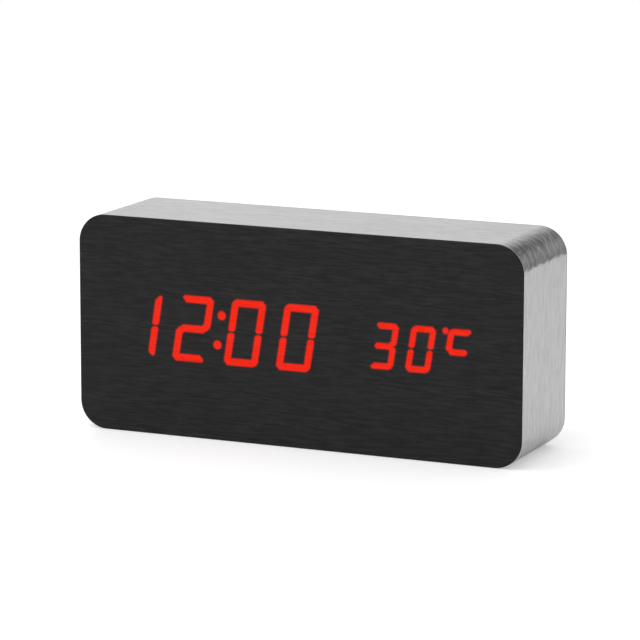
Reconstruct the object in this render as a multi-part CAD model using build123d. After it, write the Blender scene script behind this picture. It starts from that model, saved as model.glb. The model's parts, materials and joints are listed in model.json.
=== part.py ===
from build123d import *

import math
import os

# Desk clock in a rounded block case. Red seven-segment time and temperature digits shine through a
# wood-grain face film. The back is a moulded cover with a four-cell battery bay, a hooked battery
# door, three push keys and a low-voltage inlet.
#
# Frame: millimetres, +X to the right as seen from the front, the face looks towards -Y, +Z up.
# The origin is the centre of the footprint on the table.

# ---------------------------------------------------------------------------------- case
width = 150.0
height = 69.0
depth = 38.0
corner_radius = 9.0  # of the block's four long edges
least_corner = 0.5  # where the block's corner is too small to run round inside a wall
film = 0.3  # thickness of the film wrapped round the block
film_edge_round = 0.2  # of the face film's and rear film's outer edges
front_board_depth = 8.0  # the display housing is as deep as this board
side_wall = 7.0
cavity_corner = 14.0  # large, so that the cover's screws find wood in the corners

# ---------------------------------------------------------------------------------- rear cover
rebate_ledge = 3.0  # the cover sits on this ledge, all round
cover_gap = 0.2
cover_recess = 1.0  # how far the cover lies inside the back edge of the block
cover_thickness = 2.2
cover_edge_round = 0.4
rim_gap = 0.3  # between the cover's locating rim and the cavity's wall
rim_thickness = 1.2
rim_height = 1.6
screw_shank_radius = 1.1
screw_head_radius = 2.3
screw_head_height = 1.2
screw_length = 9.0  # under the head
screw_sink = 0.2  # of the head's top, below the cover's outer face
screw_hole_gap = 0.3  # round the shank in the cover, and round the head in its counterbore
screw_cross_length = 2.6
screw_slot_width = 0.7
screw_slot_depth = 0.7

# ---------------------------------------------------------------------------------- battery bay
cell_count = 4
cell_diameter = 10.5
cell_length = 44.5  # over the positive cap
cell_cap_radius = 1.9
cell_cap_height = 0.8
cell_crimp = 0.5  # bevel at both ends of the can
cell_gap = 0.5  # between neighbouring cells, and between the outer cells and the bay
cell_seat_gap = 0.25  # between a cell and its cradle
bay_inset = 41.0  # from the block's side to the centre of the bay, on the left as seen from the back
bay_wall = 1.5
bay_floor = 1.4
bay_corner = 2.0
cradle_ridge = 2.5  # height of the ridges between the cells
contact_thickness = 0.4
contact_width = 8.0
contact_corner = 1.0
contact_top_gap = 2.2  # from a contact's top edge to the bay's mouth
lug_width = 3.0
lug_root = 1.0  # how far up the contact the lug begins
lug_length = 2.0  # below the bay's floor
lug_gap = 0.2
spring_length = 4.6  # squeezed between contact and cell
spring_turns = 3.0
spring_wire = 0.6
spring_wire_sides = 8  # an octagon for the wire's section keeps the coils light
spring_base_radius = 3.6
spring_tip_radius = 2.1

# ---------------------------------------------------------------------------------- battery door
door_thickness = 1.6
door_ledge = 1.0  # seat round the mouth of the bay
door_gap = 0.25
door_corner = 2.0
door_bevel = 0.25
door_cell_gap = 0.3
tab_width = 8.0
tab_spread = 30.0  # between the centres of the two hooks
tab_thickness = 1.2
tab_leg = 1.5  # thickness of the part that joins a hook to the door
tab_reach = 1.6  # how far a hook goes behind the cover's edge
tab_lip_gap = 0.4
tab_side_gap = 0.3
latch_width = 10.0
latch_thickness = 0.8
latch_bend = 0.6  # inner radius of the U
latch_leg = 1.8  # straight part of the fixed leg, inside the door
latch_free_gap = 0.4  # between the free leg and the door's edge
latch_sink = 0.4  # of the free leg's end, below the door's outer face
latch_notch_gap = 0.3  # between the barb and the top of its notch
latch_side_gap = 0.6
barb_height = 0.5
barb_length = 1.2
scoop_radius = 7.5  # finger hollow in the cover above the latch
scoop_depth = 1.2
grip_rib_count = 3
grip_rib_width = 14.0
grip_rib_pitch = 2.2
grip_rib_radius = 0.35
grip_rib_top = 6.0  # from the door's upper edge to the first rib

# ---------------------------------------------------------------------------------- key board
# The board lies in the middle of the room between the cavity's side and the bay.
key_board_width = 58.0
key_board_height = 40.0
key_board_thickness = 1.6
key_board_corner = 1.5
board_boss_radius = 2.6
board_boss_inset = 3.6
board_boss_floor = 1.0  # cover's thickness left under the screw's hole, from its inner face
board_screw_radius = 0.9
board_screw_head = 1.8
board_screw_head_height = 1.0
board_screw_length = 6.0

# ---------------------------------------------------------------------------------- keys
# Places on the key board are measured from its centre.
key_names = ("set", "up", "down")  # from left to right as seen from the back
key_pitch = 14.0
key_offset = -3.0
key_rise = 10.5
key_radius = 3.5
key_gap = 0.2
key_proud = 0.8  # how far a key stands out of the cover
key_edge_round = 0.5
key_flange = 1.0  # step and thickness of the flange that keeps the key in
key_rest_gap = 0.1
key_boss_radius = 2.0
key_boss_length = 1.7
key_dish_depth = 0.25
key_mark_size = 1.5
collar_wall = 0.8
collar_gap = 0.3
collar_length = 2.4
switch_size = 6.0
switch_corner = 0.5
switch_height = 3.5
switch_stem_radius = 1.7
switch_stem_height = 5.0  # above the board
switch_stem_gap = 0.1
switch_floor = 1.0
switch_free = 0.6  # room below the stem, over its floor

# ---------------------------------------------------------------------------------- inlet, sounder, sensors
jack_offset = -18.0
jack_rise = -13.5
jack_body = 8.4
jack_corner = 0.6
jack_nose_radius = 3.2
jack_nose_gap = 0.2
jack_nose_sink = 0.3  # below the cover's outer face
jack_body_height = 6.4
jack_bore_radius = 1.85  # for a 3.5 mm plug
jack_floor = 1.2
jack_pin_radius = 0.65
jack_pin_base_radius = 0.95  # of the pin's riveted foot, in the floor of the bore
jack_pin_sink = 1.0  # below the mouth
jack_blade_width = 1.6
jack_blade_thickness = 0.3
buzzer_offset = 2.0
buzzer_rise = -12.5
buzzer_radius = 4.6
buzzer_height = 5.2
buzzer_bevel = 0.4
buzzer_port_radius = 0.9
buzzer_port_depth = 1.5
sound_hole_radius = 0.7
sound_hole_ring = 2.6
sound_hole_count = 6  # round a middle one
sensor_offset = 21.0  # of the microphone and the thermistor
microphone_rise = 10.5
microphone_radius = 3.0
microphone_height = 2.4
microphone_fit = 0.05
microphone_bevel = 0.3
microphone_leg_spread = 1.2  # from the middle to each leg
microphone_hole_radius = 0.75
thermistor_rise = -11.0
thermistor_bead_radius = 1.1
thermistor_vent_gap = 0.5
thermistor_leg_spread = 0.6
vent_count = 3
vent_pitch = 2.6
vent_length = 6.0
vent_width = 1.2
sensor_leg_radius = 0.25

# ---------------------------------------------------------------------------------- display
# Heights are measured from the block's middle, and strokes along their middle lines.
digit_slant = 0.158  # sideways shift for each millimetre up
time_digit_count = 4
time_pitch = 17.87
time_first_x = -53.0  # centre of the first digit at mid height
time_rise = 0.4
time_half_width = 4.66
time_half_height = 9.4
time_stroke = 2.35
colon_after_count = 2  # digits before the colon
colon_shift = 0.23  # from halfway between the digits beside it
colon_offset = 4.72
colon_radius = 1.25
degree_first_x = 29.56
degree_pitch = 12.2
degree_full_digit_count = 2  # before the unit digit, which can only show C or F
degree_rise = 0.27
degree_half_width = 3.12
degree_half_height = 6.31
degree_stroke = 2.0
degree_dot_x = 49.9
degree_dot_rise = 6.7
degree_dot_radius = 0.97
joint_gap = 0.2  # between two strokes that share a corner
middle_gap = 0.25  # from a stroke's tip to the digit's mid height
tip_cut = 0.5  # bevel of the blunt side of an upright stroke's tip
corner_cut = 1.3  # bevel of a digit's outer corners
housing_left = -64.0
housing_right = 63.0
housing_half_height = 13.5
housing_fit = 0.1
housing_corner = 1.0
diffuser_depth = 1.6
diffuser_fit = 0.03
led_length = 1.6
led_width = 0.8
led_height = 0.7

# ---------------------------------------------------------------------------------- main board
# Places on the main board are (x, height above the block's middle).
board_edge_gap = 2.2
board_thickness = 1.6
board_screw_inset = 3.0  # from the board's rounded corner, along each side
microcontroller_place = (-6.0, 8.0)
microcontroller_pin_count = 28
driver_place = (24.0, -10.0)
driver_pin_count = 20
wide_chip_body = 7.5
wide_chip_height = 2.3
clock_chip_place = (-8.0, -11.0)
clock_chip_pin_count = 8
clock_chip_body = 3.9
clock_chip_height = 1.5
chip_end = 0.5  # body beyond the outer pins' pitch lines
chip_standoff = 0.15
chip_pin_pitch = 1.27
chip_pin_width = 0.45
chip_pin_thickness = 0.25
chip_pin_reach = 1.4  # from the body to the end of the foot
chip_pin_foot = 0.8
chip_pin_shoulder = 0.4
crystal_place = (-20.0, -11.0)
crystal_radius = 1.1
crystal_length = 6.2
crystal_leg = 1.5
crystal_leg_radius = 0.25
capacitor_inset = 17.5  # from the board's right end
capacitor_rise = 12.0
capacitor_radius = 3.15
capacitor_height = 7.0
capacitor_base = 1.0
capacitor_base_margin = 0.15
capacitor_base_corner = 0.8
capacitor_groove = 0.3

# ---------------------------------------------------------------------------------- wiring
socket_width = 10.0
socket_height = 4.8
socket_depth = 4.5
ribbon_width = 6.5
ribbon_thickness = 1.1
ribbon_bend = 2.4
ribbon_seat = 1.0  # how far the ribbon goes into a socket
ribbon_rise = 8.0  # of the main board's socket above the middle, and of the other one below it
lead_radius = 0.65
lead_bend = 3.0
lead_inset = 8.0  # from the key board's edge to where the leads are soldered

# ---------------------------------------------------------------------------------- depths, front to back
face_front = -depth / 2
board_front = face_front + film
board_rear = board_front + front_board_depth
pcb_rear = board_rear + board_thickness
rear_face = depth / 2
frame_rear = rear_face - film
cover_rear = rear_face - cover_recess
cover_front = cover_rear - cover_thickness
door_front = cover_rear - door_thickness
cell_radius = cell_diameter / 2
cell_axis = door_front - door_cell_gap - cell_radius
cradle_radius = cell_radius + cell_seat_gap
bay_floor_rear = cell_axis - cradle_radius
bay_floor_front = bay_floor_rear - bay_floor
ridge_top = bay_floor_rear + cradle_ridge
flange_rear = cover_front - key_rest_gap
flange_front = flange_rear - key_flange
stem_top = flange_front - key_boss_length
key_board_rear = stem_top - switch_stem_height
key_board_front = key_board_rear - key_board_thickness
jack_mouth = cover_rear - jack_nose_sink
jack_bore_floor = key_board_rear + jack_floor
latch_turn = door_front - latch_leg

# ---------------------------------------------------------------------------------- across and up
middle_z = height / 2
cavity_inset = film + side_wall
rebate_inset = cavity_inset - rebate_ledge
cover_inset = rebate_inset + cover_gap
corner_share = 1 - math.sqrt(0.5)  # of a radius, from a corner to its arc along each side
cell_pitch = cell_diameter + cell_gap
bay_x = width / 2 - bay_inset
bay_width = cell_length + spring_length + 2 * contact_thickness
bay_height = (cell_count - 1) * cell_pitch + cell_diameter + 2 * cell_gap
bay_left = bay_x - bay_width / 2
bay_right = bay_x + bay_width / 2
bay_bottom = middle_z - bay_height / 2
bay_top = middle_z + bay_height / 2
mouth_bottom = bay_bottom - door_ledge  # the door's hinge line, at the cover's outer face
mouth_top = bay_top + door_ledge
latch_high = mouth_top - door_gap + latch_free_gap + latch_thickness / 2  # middle of the free leg
latch_low = latch_high - 2 * latch_bend - latch_thickness
latch_top = latch_high + latch_thickness / 2
key_board_x = (bay_left - bay_wall + cavity_inset - width / 2) / 2
key_z = middle_z + key_rise
key_middle = (len(key_names) - 1) / 2
key_xs = [key_board_x + key_offset + (key_middle - i) * key_pitch for i in range(len(key_names))]
jack_x = key_board_x + jack_offset
jack_z = middle_z + jack_rise
buzzer_x = key_board_x + buzzer_offset
buzzer_z = middle_z + buzzer_rise
sensor_x = key_board_x + sensor_offset
microphone_z = middle_z + microphone_rise
thermistor_z = middle_z + thermistor_rise
time_z = middle_z + time_rise
degree_z = middle_z + degree_rise


# ================================================================================== helpers


def along_depth(sketch, front, rear):
    """Solid with the sketch's outline (x across, y up) between two depths."""
    plane = Plane(origin=(0, rear, 0), x_dir=(1, 0, 0), z_dir=(0, -1, 0))
    return extrude(plane * sketch, amount=rear - front, dir=plane.z_dir)


def along_width(sketch, left, right):
    """Solid with the sketch's outline (x to the back, y up) between two places across the clock."""
    plane = Plane(origin=(left, 0, 0), x_dir=(0, 1, 0), z_dir=(1, 0, 0))
    return extrude(plane * sketch, amount=right - left, dir=plane.z_dir)


def rod(radius, x, z, front, rear):
    return along_depth(Pos(x, z) * Circle(radius), front, rear)


def strip(x0, x1, y0, y1):
    """Rectangle between two corners."""
    return Pos((x0 + x1) / 2, (y0 + y1) / 2) * Rectangle(abs(x1 - x0), abs(y1 - y0))


def turned(profile, x, z):
    """Solid of revolution about a line along the depth, from (radius, depth) points."""
    face = make_face(Polyline(*profile, close=True))
    return Pos(x, 0, z) * revolve(face, Axis.Y)


def group(solids):
    return Compound(children=list(solids))


def block_outline(inset, corner=None):
    """The block's rounded outline, moved inwards."""
    radius = max(corner_radius - inset, least_corner) if corner is None else corner
    return Pos(0, middle_z) * RectangleRounded(width - 2 * inset, height - 2 * inset, radius)


def inside_corners(inset):
    """The four points at one inset from the block's sides."""
    x, z = width / 2 - inset, height / 2 - inset
    return [(sx * x, middle_z + sz * z) for sx in (-1, 1) for sz in (-1, 1)]


def rear_edges(solid):
    return solid.faces().sort_by(Axis.Y)[-1].edges()


# ================================================================================== case


def face_film():
    sheet = along_depth(block_outline(0), face_front, board_front)
    return fillet(sheet.faces().sort_by(Axis.Y)[0].edges(), film_edge_round)


def edge_film():
    return along_depth(block_outline(0) - block_outline(film), board_front, frame_rear)


def rear_film():
    sheet = along_depth(block_outline(0), frame_rear, rear_face)
    sheet = fillet(rear_edges(sheet), film_edge_round)
    return sheet - along_depth(block_outline(rebate_inset), frame_rear, rear_face)


def housing_outline(grow=0.0):
    low, high = time_z - housing_half_height - grow, time_z + housing_half_height + grow
    outline = strip(housing_left - grow, housing_right + grow, low, high)
    return fillet(outline.vertices(), housing_corner + grow)


def main_board_screw_points():
    """In from the middle of each of the board's rounded corners."""
    board_corner = cavity_corner - board_edge_gap
    return inside_corners(cavity_inset + board_edge_gap + board_corner * corner_share + board_screw_inset)


def front_board():
    board = along_depth(block_outline(film), board_front, board_rear)
    board -= along_depth(housing_outline(housing_fit), board_front, board_rear)
    for x, z in main_board_screw_points():
        board -= rod(board_screw_radius, x, z, pcb_rear - board_screw_length, board_rear)
    return board


def cover_screw_points():
    """Halfway between the cavity's corner arc and the rebate's corner arc."""
    cavity_arc = cavity_inset + cavity_corner * corner_share
    rebate_arc = rebate_inset + (corner_radius - rebate_inset) * corner_share
    return inside_corners((cavity_arc + rebate_arc) / 2)


def case_frame():
    frame = along_depth(block_outline(film), board_rear, frame_rear)
    frame -= along_depth(block_outline(cavity_inset, cavity_corner), board_rear, cover_front)
    frame -= along_depth(block_outline(rebate_inset), cover_front, frame_rear)
    screw_tip = cover_rear - screw_sink - screw_head_height - screw_length
    for x, z in cover_screw_points():
        frame -= rod(screw_shank_radius, x, z, screw_tip, cover_front)
    return frame


# ================================================================================== display


def stroke_outlines(half_width, half_height, stroke):
    """The seven strokes of an upright digit about its centre, as corner points by stroke letter."""
    half = stroke / 2
    inner_x, outer_x = half_width - half, half_width + half
    inner_z, outer_z = half_height - half, half_height + half
    bevel = corner_cut / 2
    top = [
        (inner_x - joint_gap, inner_z),
        (outer_x - bevel - joint_gap, outer_z - bevel),
        (outer_x - corner_cut, outer_z),
        (corner_cut - outer_x, outer_z),
        (bevel + joint_gap - outer_x, outer_z - bevel),
        (joint_gap - inner_x, inner_z),
    ]
    upper_right = [
        (inner_x, inner_z - joint_gap),
        (outer_x - bevel, outer_z - bevel - joint_gap),
        (outer_x, outer_z - corner_cut),
        (outer_x, middle_gap + tip_cut),
        (outer_x - tip_cut, middle_gap),
        (half_width, middle_gap),
        (inner_x, half + middle_gap),
    ]
    tip = half_width - joint_gap - middle_gap / 2
    right_end = [(tip - half, -half), (tip, 0), (tip - half, half)]
    return {
        "a": top,
        "b": upper_right,
        "c": [(x, -z) for x, z in upper_right],
        "d": [(x, -z) for x, z in top],
        "e": [(-x, -z) for x, z in upper_right],
        "f": [(-x, z) for x, z in upper_right],
        "g": right_end + [(-x, -z) for x, z in right_end],
    }


def digit_strokes(x, z, letters, half_width, half_height, stroke):
    """One sketch for each stroke of a slanted digit whose centre is at (x, z)."""
    outlines = stroke_outlines(half_width, half_height, stroke)
    sketches = []
    for letter in letters:
        points = [(x + u + digit_slant * v, z + v) for u, v in outlines[letter]]
        sketches.append(Polygon(*points, align=None))
    return sketches


def time_strokes():
    """Four digits, and the two dots between the hours and the minutes."""
    sketches = []
    for i in range(time_digit_count):
        x = time_first_x + i * time_pitch
        sketches += digit_strokes(x, time_z, "abcdefg", time_half_width, time_half_height, time_stroke)
    colon_x = time_first_x + (colon_after_count - 1) * time_pitch + time_pitch / 2 + colon_shift
    for rise in (-colon_offset, colon_offset):
        sketches.append(Pos(colon_x + digit_slant * rise, time_z + rise) * Circle(colon_radius))
    return sketches


def degree_strokes():
    """Two full digits, then a unit digit with its lower strokes left out, and the degree dot."""
    sketches = []
    for i in range(degree_full_digit_count + 1):
        letters = "abcdefg" if i < degree_full_digit_count else "aefg"
        x = degree_first_x + i * degree_pitch
        sketches += digit_strokes(
            x, degree_z, letters, degree_half_width, degree_half_height, degree_stroke
        )
    return sketches + [Pos(degree_dot_x, middle_z + degree_dot_rise) * Circle(degree_dot_radius)]


def display_housing():
    """Opaque block with one light channel for each stroke, from the LED chips to the face."""
    housing = along_depth(housing_outline(), board_front, board_rear)
    channels = [along_depth(s, board_front, board_rear) for s in time_strokes() + degree_strokes()]
    return housing - channels


def diffusers(strokes):
    """Milky plugs in the front ends of the light channels."""
    rear = board_front + diffuser_depth
    return group(along_depth(offset(s, -diffuser_fit), board_front, rear) for s in strokes)


def led_chips():
    """One chip on the board in the middle of each light channel, lying along its stroke."""
    chips = []
    for stroke in time_strokes() + degree_strokes():
        centre = stroke.center()
        size = stroke.bounding_box().size
        outline = Rectangle(led_width, led_length) if size.Y > size.X else Rectangle(led_length, led_width)
        chips.append(along_depth(Pos(centre.X, centre.Y) * outline, board_rear - led_height, board_rear))
    return group(chips)


# ================================================================================== main board


def main_board():
    outline = block_outline(cavity_inset + board_edge_gap, cavity_corner - board_edge_gap)
    board = along_depth(outline, board_rear, pcb_rear)
    for x, z in main_board_screw_points():
        board -= rod(board_screw_radius, x, z, board_rear, pcb_rear)
    return board


def pan_head_profile(shank, length, head, head_height, seat, direction):
    """(radius, depth) points of a pointed screw with its head on the seat, towards the direction."""
    tip = seat - direction * length
    top = seat + direction * head_height
    return [
        (0, tip),
        (shank, tip + direction * shank),
        (shank, seat),
        (head, seat),
        (head, seat + direction * head_height / 2),
        (head - head_height / 2, top),
        (0, top),
    ]


def board_screw(x, z, seat, direction):
    """Slotted board screw; the direction is +1 where the head looks to the back."""
    profile = pan_head_profile(
        board_screw_radius,
        board_screw_length,
        board_screw_head,
        board_screw_head_height,
        seat,
        direction,
    )
    top = seat + direction * board_screw_head_height
    floor = top - direction * board_screw_head_height / 2
    slot = Pos(x, z) * Rectangle(2 * board_screw_head, screw_slot_width)
    return turned(profile, x, z) - along_depth(slot, min(floor, top), max(floor, top))


def main_board_screws():
    return group(board_screw(x, z, pcb_rear, 1) for x, z in main_board_screw_points())


def gull_chip(place, pin_count, body_width, body_height):
    """Small-outline chip on the main board's back, with bent pins along its two long sides."""
    x, z = place[0], middle_z + place[1]
    pairs = pin_count // 2
    half_length = (pairs - 1) * chip_pin_pitch / 2 + chip_pin_pitch / 2 + chip_end
    bottom = pcb_rear + chip_standoff
    out = body_width / 2
    body = along_depth(
        strip(x - half_length, x + half_length, z - out, z + out), bottom, bottom + body_height
    )
    body = chamfer(rear_edges(body), body_height / 5)
    knee = bottom + body_height / 2
    foot = out + chip_pin_reach
    pin_profile = [
        (pcb_rear, foot),
        (pcb_rear, foot - chip_pin_foot),
        (knee - chip_pin_thickness, out + chip_pin_shoulder - chip_pin_thickness),
        (knee - chip_pin_thickness, out),
        (knee, out),
        (knee, out + chip_pin_shoulder),
        (pcb_rear + chip_pin_thickness, foot - chip_pin_foot + chip_pin_thickness),
        (pcb_rear + chip_pin_thickness, foot),
    ]
    pins = []
    for i in range(pairs):
        pin_x = x + (i - (pairs - 1) / 2) * chip_pin_pitch
        for side in (-1, 1):
            outline = Polygon(*[(y, z + side * r) for y, r in pin_profile], align=None)
            pins.append(along_width(outline, pin_x - chip_pin_width / 2, pin_x + chip_pin_width / 2))
    return body + pins


def microcontroller():
    return gull_chip(microcontroller_place, microcontroller_pin_count, wide_chip_body, wide_chip_height)


def led_driver():
    return gull_chip(driver_place, driver_pin_count, wide_chip_body, wide_chip_height)


def clock_chip():
    return gull_chip(clock_chip_place, clock_chip_pin_count, clock_chip_body, clock_chip_height)


def crystal():
    """Can crystal lying on the board beside the clock chip, with its two bent legs."""
    x, z = crystal_place[0], middle_z + crystal_place[1]
    y = pcb_rear + crystal_radius
    can_end = x + crystal_length
    bend = can_end + crystal_leg
    can = along_width(Pos(y, z) * Circle(crystal_radius), x, can_end)
    for leg_z in (z - crystal_radius / 2, z + crystal_radius / 2):
        can += along_width(Pos(y, leg_z) * Circle(crystal_leg_radius), can_end, bend)
        can += rod(crystal_leg_radius, bend, leg_z, pcb_rear, y + crystal_leg_radius)
    return can


def capacitor():
    """Can capacitor on its square base, with the groove that such cans have."""
    x = width / 2 - cavity_inset - board_edge_gap - capacitor_inset
    z = middle_z + capacitor_rise
    side = 2 * (capacitor_radius + capacitor_base_margin)
    foot = Pos(x, z) * RectangleRounded(side, side, capacitor_base_corner)
    bottom, top = pcb_rear + capacitor_base, pcb_rear + capacitor_height
    neck = capacitor_radius - capacitor_groove
    profile = [
        (0, bottom),
        (capacitor_radius, bottom),
        (capacitor_radius, bottom + 2 * capacitor_groove),
        (neck, bottom + 3 * capacitor_groove),
        (neck, bottom + 4 * capacitor_groove),
        (capacitor_radius, bottom + 5 * capacitor_groove),
        (capacitor_radius, top - capacitor_groove),
        (neck, top),
        (0, top),
    ]
    return along_depth(foot, pcb_rear, bottom) + turned(profile, x, z)


# ================================================================================== rear cover


def bay_outline(grow, corner):
    return Pos(bay_x, middle_z) * RectangleRounded(bay_width + 2 * grow, bay_height + 2 * grow, corner)


def cell_rows():
    """(height, sign) of each cell; the sign is +1 where the positive cap is at the bay's right."""
    first = bay_bottom + cell_gap + cell_radius
    return [(first + i * cell_pitch, 1 - 2 * (i % 2)) for i in range(cell_count)]


def contact_spans():
    """(side, first row, last row) of each contact plate; the side is -1 at the bay's left wall."""
    ends = [(-1, row, row) for row in (0, cell_count - 1)]
    left = [(-1, i, i + 1) for i in range(1, cell_count - 1, 2)]
    right = [(1, i, i + 1) for i in range(0, cell_count - 1, 2)]
    return ends + left + right


def board_boss_points():
    dx = key_board_width / 2 - board_boss_inset
    dz = key_board_height / 2 - board_boss_inset
    return [(key_board_x + sx * dx, middle_z + sz * dz) for sx in (-1, 1) for sz in (-1, 1)]


def tab_centres():
    return [bay_x + side * tab_spread / 2 for side in (-1, 1)]


def bay_room():
    """Cut from the bay: the door's seat, the pocket and the cells' cradles."""
    room = [
        along_depth(bay_outline(door_ledge, door_corner + door_gap), door_front, cover_rear),
        along_depth(bay_outline(0, door_corner), ridge_top, door_front),
    ]
    for z, _ in cell_rows():
        room.append(along_width(Pos(cell_axis, z) * Circle(cradle_radius), bay_left, bay_right))
    return room


def hook_room():
    """Slots through the bay's lower wall and seat, where the door's hooks swing."""
    swing = math.hypot(door_thickness + 2 * tab_thickness + tab_lip_gap, tab_reach) + tab_side_gap
    low = mouth_bottom - tab_reach - tab_side_gap
    room = []
    for x in tab_centres():
        left, right = x - tab_width / 2 - tab_side_gap, x + tab_width / 2 + tab_side_gap
        high = bay_bottom + tab_side_gap
        room.append(along_depth(strip(left, right, low, high), cover_rear - swing, cover_front))
        seat = strip(left, right, mouth_bottom, high)
        room.append(along_depth(seat, cover_front, door_front))
    return room


def latch_room():
    """Notch for the door's latch, and the finger hollow above it."""
    half = latch_width / 2 + latch_side_gap
    low, high = latch_low - latch_thickness, latch_top + barb_height + latch_notch_gap
    bottom = latch_turn - latch_bend - latch_thickness - latch_side_gap
    notch = along_depth(strip(bay_x - half, bay_x + half, low, high), bottom, cover_rear)
    scoop = Pos(bay_x, mouth_top) * Circle(scoop_radius)
    scoop &= strip(bay_x - scoop_radius, bay_x + scoop_radius, mouth_top, mouth_top + scoop_radius)
    return [notch, along_depth(scoop, cover_rear - scoop_depth, cover_rear)]


def lug_slots():
    """Slots in the bay's floor for the soldering lugs of the two end contacts."""
    slots = []
    for side, first, last in contact_spans():
        if first == last:
            z = cell_rows()[first][0]
            half = lug_width / 2 + lug_gap
            wall = bay_left if side < 0 else bay_right
            inner = wall - side * (contact_thickness + lug_gap)
            outline = strip(bay_floor_front, ridge_top, z - half, z + half)
            slots.append(along_width(outline, min(wall, inner), max(wall, inner)))
    return slots


def screw_holes():
    holes = []
    seat = cover_rear - screw_sink - screw_head_height
    for x, z in cover_screw_points():
        holes.append(rod(screw_shank_radius + screw_hole_gap, x, z, cover_front, cover_rear))
        holes.append(rod(screw_head_radius + screw_hole_gap, x, z, seat, cover_rear))
    return holes


def sound_holes():
    """A ring of round holes about a middle one, in front of the sounder's port."""
    holes = [rod(sound_hole_radius, buzzer_x, buzzer_z, cover_front, cover_rear)]
    for i in range(sound_hole_count):
        turn = 2 * math.pi * i / sound_hole_count
        x = buzzer_x + sound_hole_ring * math.cos(turn)
        z = buzzer_z + sound_hole_ring * math.sin(turn)
        holes.append(rod(sound_hole_radius, x, z, cover_front, cover_rear))
    return holes


def vents():
    """Slots in front of the thermistor."""
    slots = []
    for i in range(vent_count):
        z = thermistor_z + (i - (vent_count - 1) / 2) * vent_pitch
        outline = Pos(sensor_x, z) * SlotOverall(vent_length, vent_width)
        slots.append(along_depth(outline, cover_front, cover_rear))
    return slots


def key_and_inlet_holes():
    holes = [rod(key_radius + key_gap, x, key_z, cover_front, cover_rear) for x in key_xs]
    holes.append(rod(jack_nose_radius + jack_nose_gap, jack_x, jack_z, cover_front, cover_rear))
    holes.append(rod(microphone_hole_radius, sensor_x, microphone_z, cover_front, cover_rear))
    return holes


def collar(inner, x, z, length):
    ring = Circle(inner + collar_wall) - Circle(inner)
    return along_depth(Pos(x, z) * ring, cover_front - length, cover_front)


def locating_rim():
    """Low wall behind the plate that centres the cover in the cavity."""
    outer, inner = cavity_inset + rim_gap, cavity_inset + rim_gap + rim_thickness
    ring = block_outline(outer, cavity_corner - rim_gap)
    ring -= block_outline(inner, cavity_corner - rim_gap - rim_thickness)
    return along_depth(ring, cover_front - rim_height, cover_front)


def board_boss(x, z):
    boss = rod(board_boss_radius, x, z, key_board_rear, cover_front)
    return boss - rod(board_screw_radius, x, z, key_board_rear, cover_front - board_boss_floor)


def rear_cover():
    """Moulded plate with the battery bay, rim, key guides, microphone seat and board bosses."""
    cover = along_depth(block_outline(cover_inset), cover_front, cover_rear)
    cover = fillet(rear_edges(cover), cover_edge_round)
    cover += along_depth(bay_outline(bay_wall, bay_corner), bay_floor_front, cover_front)
    cover += locating_rim()
    for x in key_xs:
        cover += collar(key_radius + key_flange + collar_gap, x, key_z, collar_length)
    cover += collar(microphone_radius + microphone_fit, sensor_x, microphone_z, microphone_height)
    for x, z in board_boss_points():
        cover += board_boss(x, z)
    cover -= bay_room() + hook_room() + latch_room() + lug_slots()
    return cover - (screw_holes() + key_and_inlet_holes() + sound_holes() + vents())


def cover_screws():
    """Four self-tapping screws with pan heads, sunk in the cover's counterbores."""
    seat = cover_rear - screw_sink - screw_head_height
    top = seat + screw_head_height
    profile = pan_head_profile(
        screw_shank_radius, screw_length, screw_head_radius, screw_head_height, seat, 1
    )
    cross = Rectangle(screw_cross_length, screw_slot_width)
    cross += Rectangle(screw_slot_width, screw_cross_length)
    screws = []
    for x, z in cover_screw_points():
        recess = along_depth(Pos(x, z) * cross, top - screw_slot_depth, top)
        screws.append(turned(profile, x, z) - recess)
    return group(screws)


# ================================================================================== battery bay


def battery_cell(index):
    """One AAA cell: crimped can and positive cap, turned about its own axis."""
    z, sign = cell_rows()[index]
    negative_wall = bay_left if sign > 0 else bay_right
    start = negative_wall + sign * (contact_thickness + spring_length)
    can = cell_length - cell_cap_height
    profile = [
        (0, 0),
        (cell_radius - cell_crimp, 0),
        (cell_radius, cell_crimp),
        (cell_radius, can - cell_crimp),
        (cell_radius - cell_crimp, can),
        (cell_cap_radius, can),
        (cell_cap_radius, cell_length),
        (0, cell_length),
    ]
    cell = revolve(make_face(Polyline(*profile, close=True)), Axis.Y)
    return Pos(start, cell_axis, z) * Rot(0, 0, -sign * 90) * cell


def contact_plate(side, first, last):
    """Sprung plate on the bay's end wall; one that serves a single cell has a soldering lug."""
    rows = cell_rows()
    low, high = rows[first][0] - contact_width / 2, rows[last][0] + contact_width / 2
    mouth = door_front - contact_top_gap
    wall = bay_left if side < 0 else bay_right
    inner = wall - side * contact_thickness
    left, right = min(wall, inner), max(wall, inner)
    outline = fillet(strip(ridge_top, mouth, low, high).vertices(), contact_corner)
    plate = along_width(outline, left, right)
    if first == last:
        z = rows[first][0]
        lug = strip(bay_floor_front - lug_length, ridge_top + lug_root, z - lug_width / 2, z + lug_width / 2)
        plate += along_width(lug, left, right)
    return plate


def battery_contacts():
    return group(contact_plate(*span) for span in contact_spans())


def contact_spring(index):
    """Conical coil from the contact to the cell's negative end."""
    z, sign = cell_rows()[index]
    wall = bay_left if sign > 0 else bay_right
    start = wall + sign * (contact_thickness + spring_wire / 2)
    rise = spring_length - spring_wire
    taper = math.degrees(math.atan((spring_tip_radius - spring_base_radius) / rise))
    helix = Helix(rise / spring_turns, rise, spring_base_radius, cone_angle=taper)
    wire = RegularPolygon(spring_wire / 2, spring_wire_sides)
    section = Plane(origin=helix @ 0, z_dir=helix % 0) * wire
    coil = sweep(section, path=helix, is_frenet=True)
    return Pos(start, cell_axis, z) * Rot(0, sign * 90, 0) * coil


def battery_springs():
    return group(contact_spring(i) for i in range(cell_count))


# ================================================================================== battery door


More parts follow.
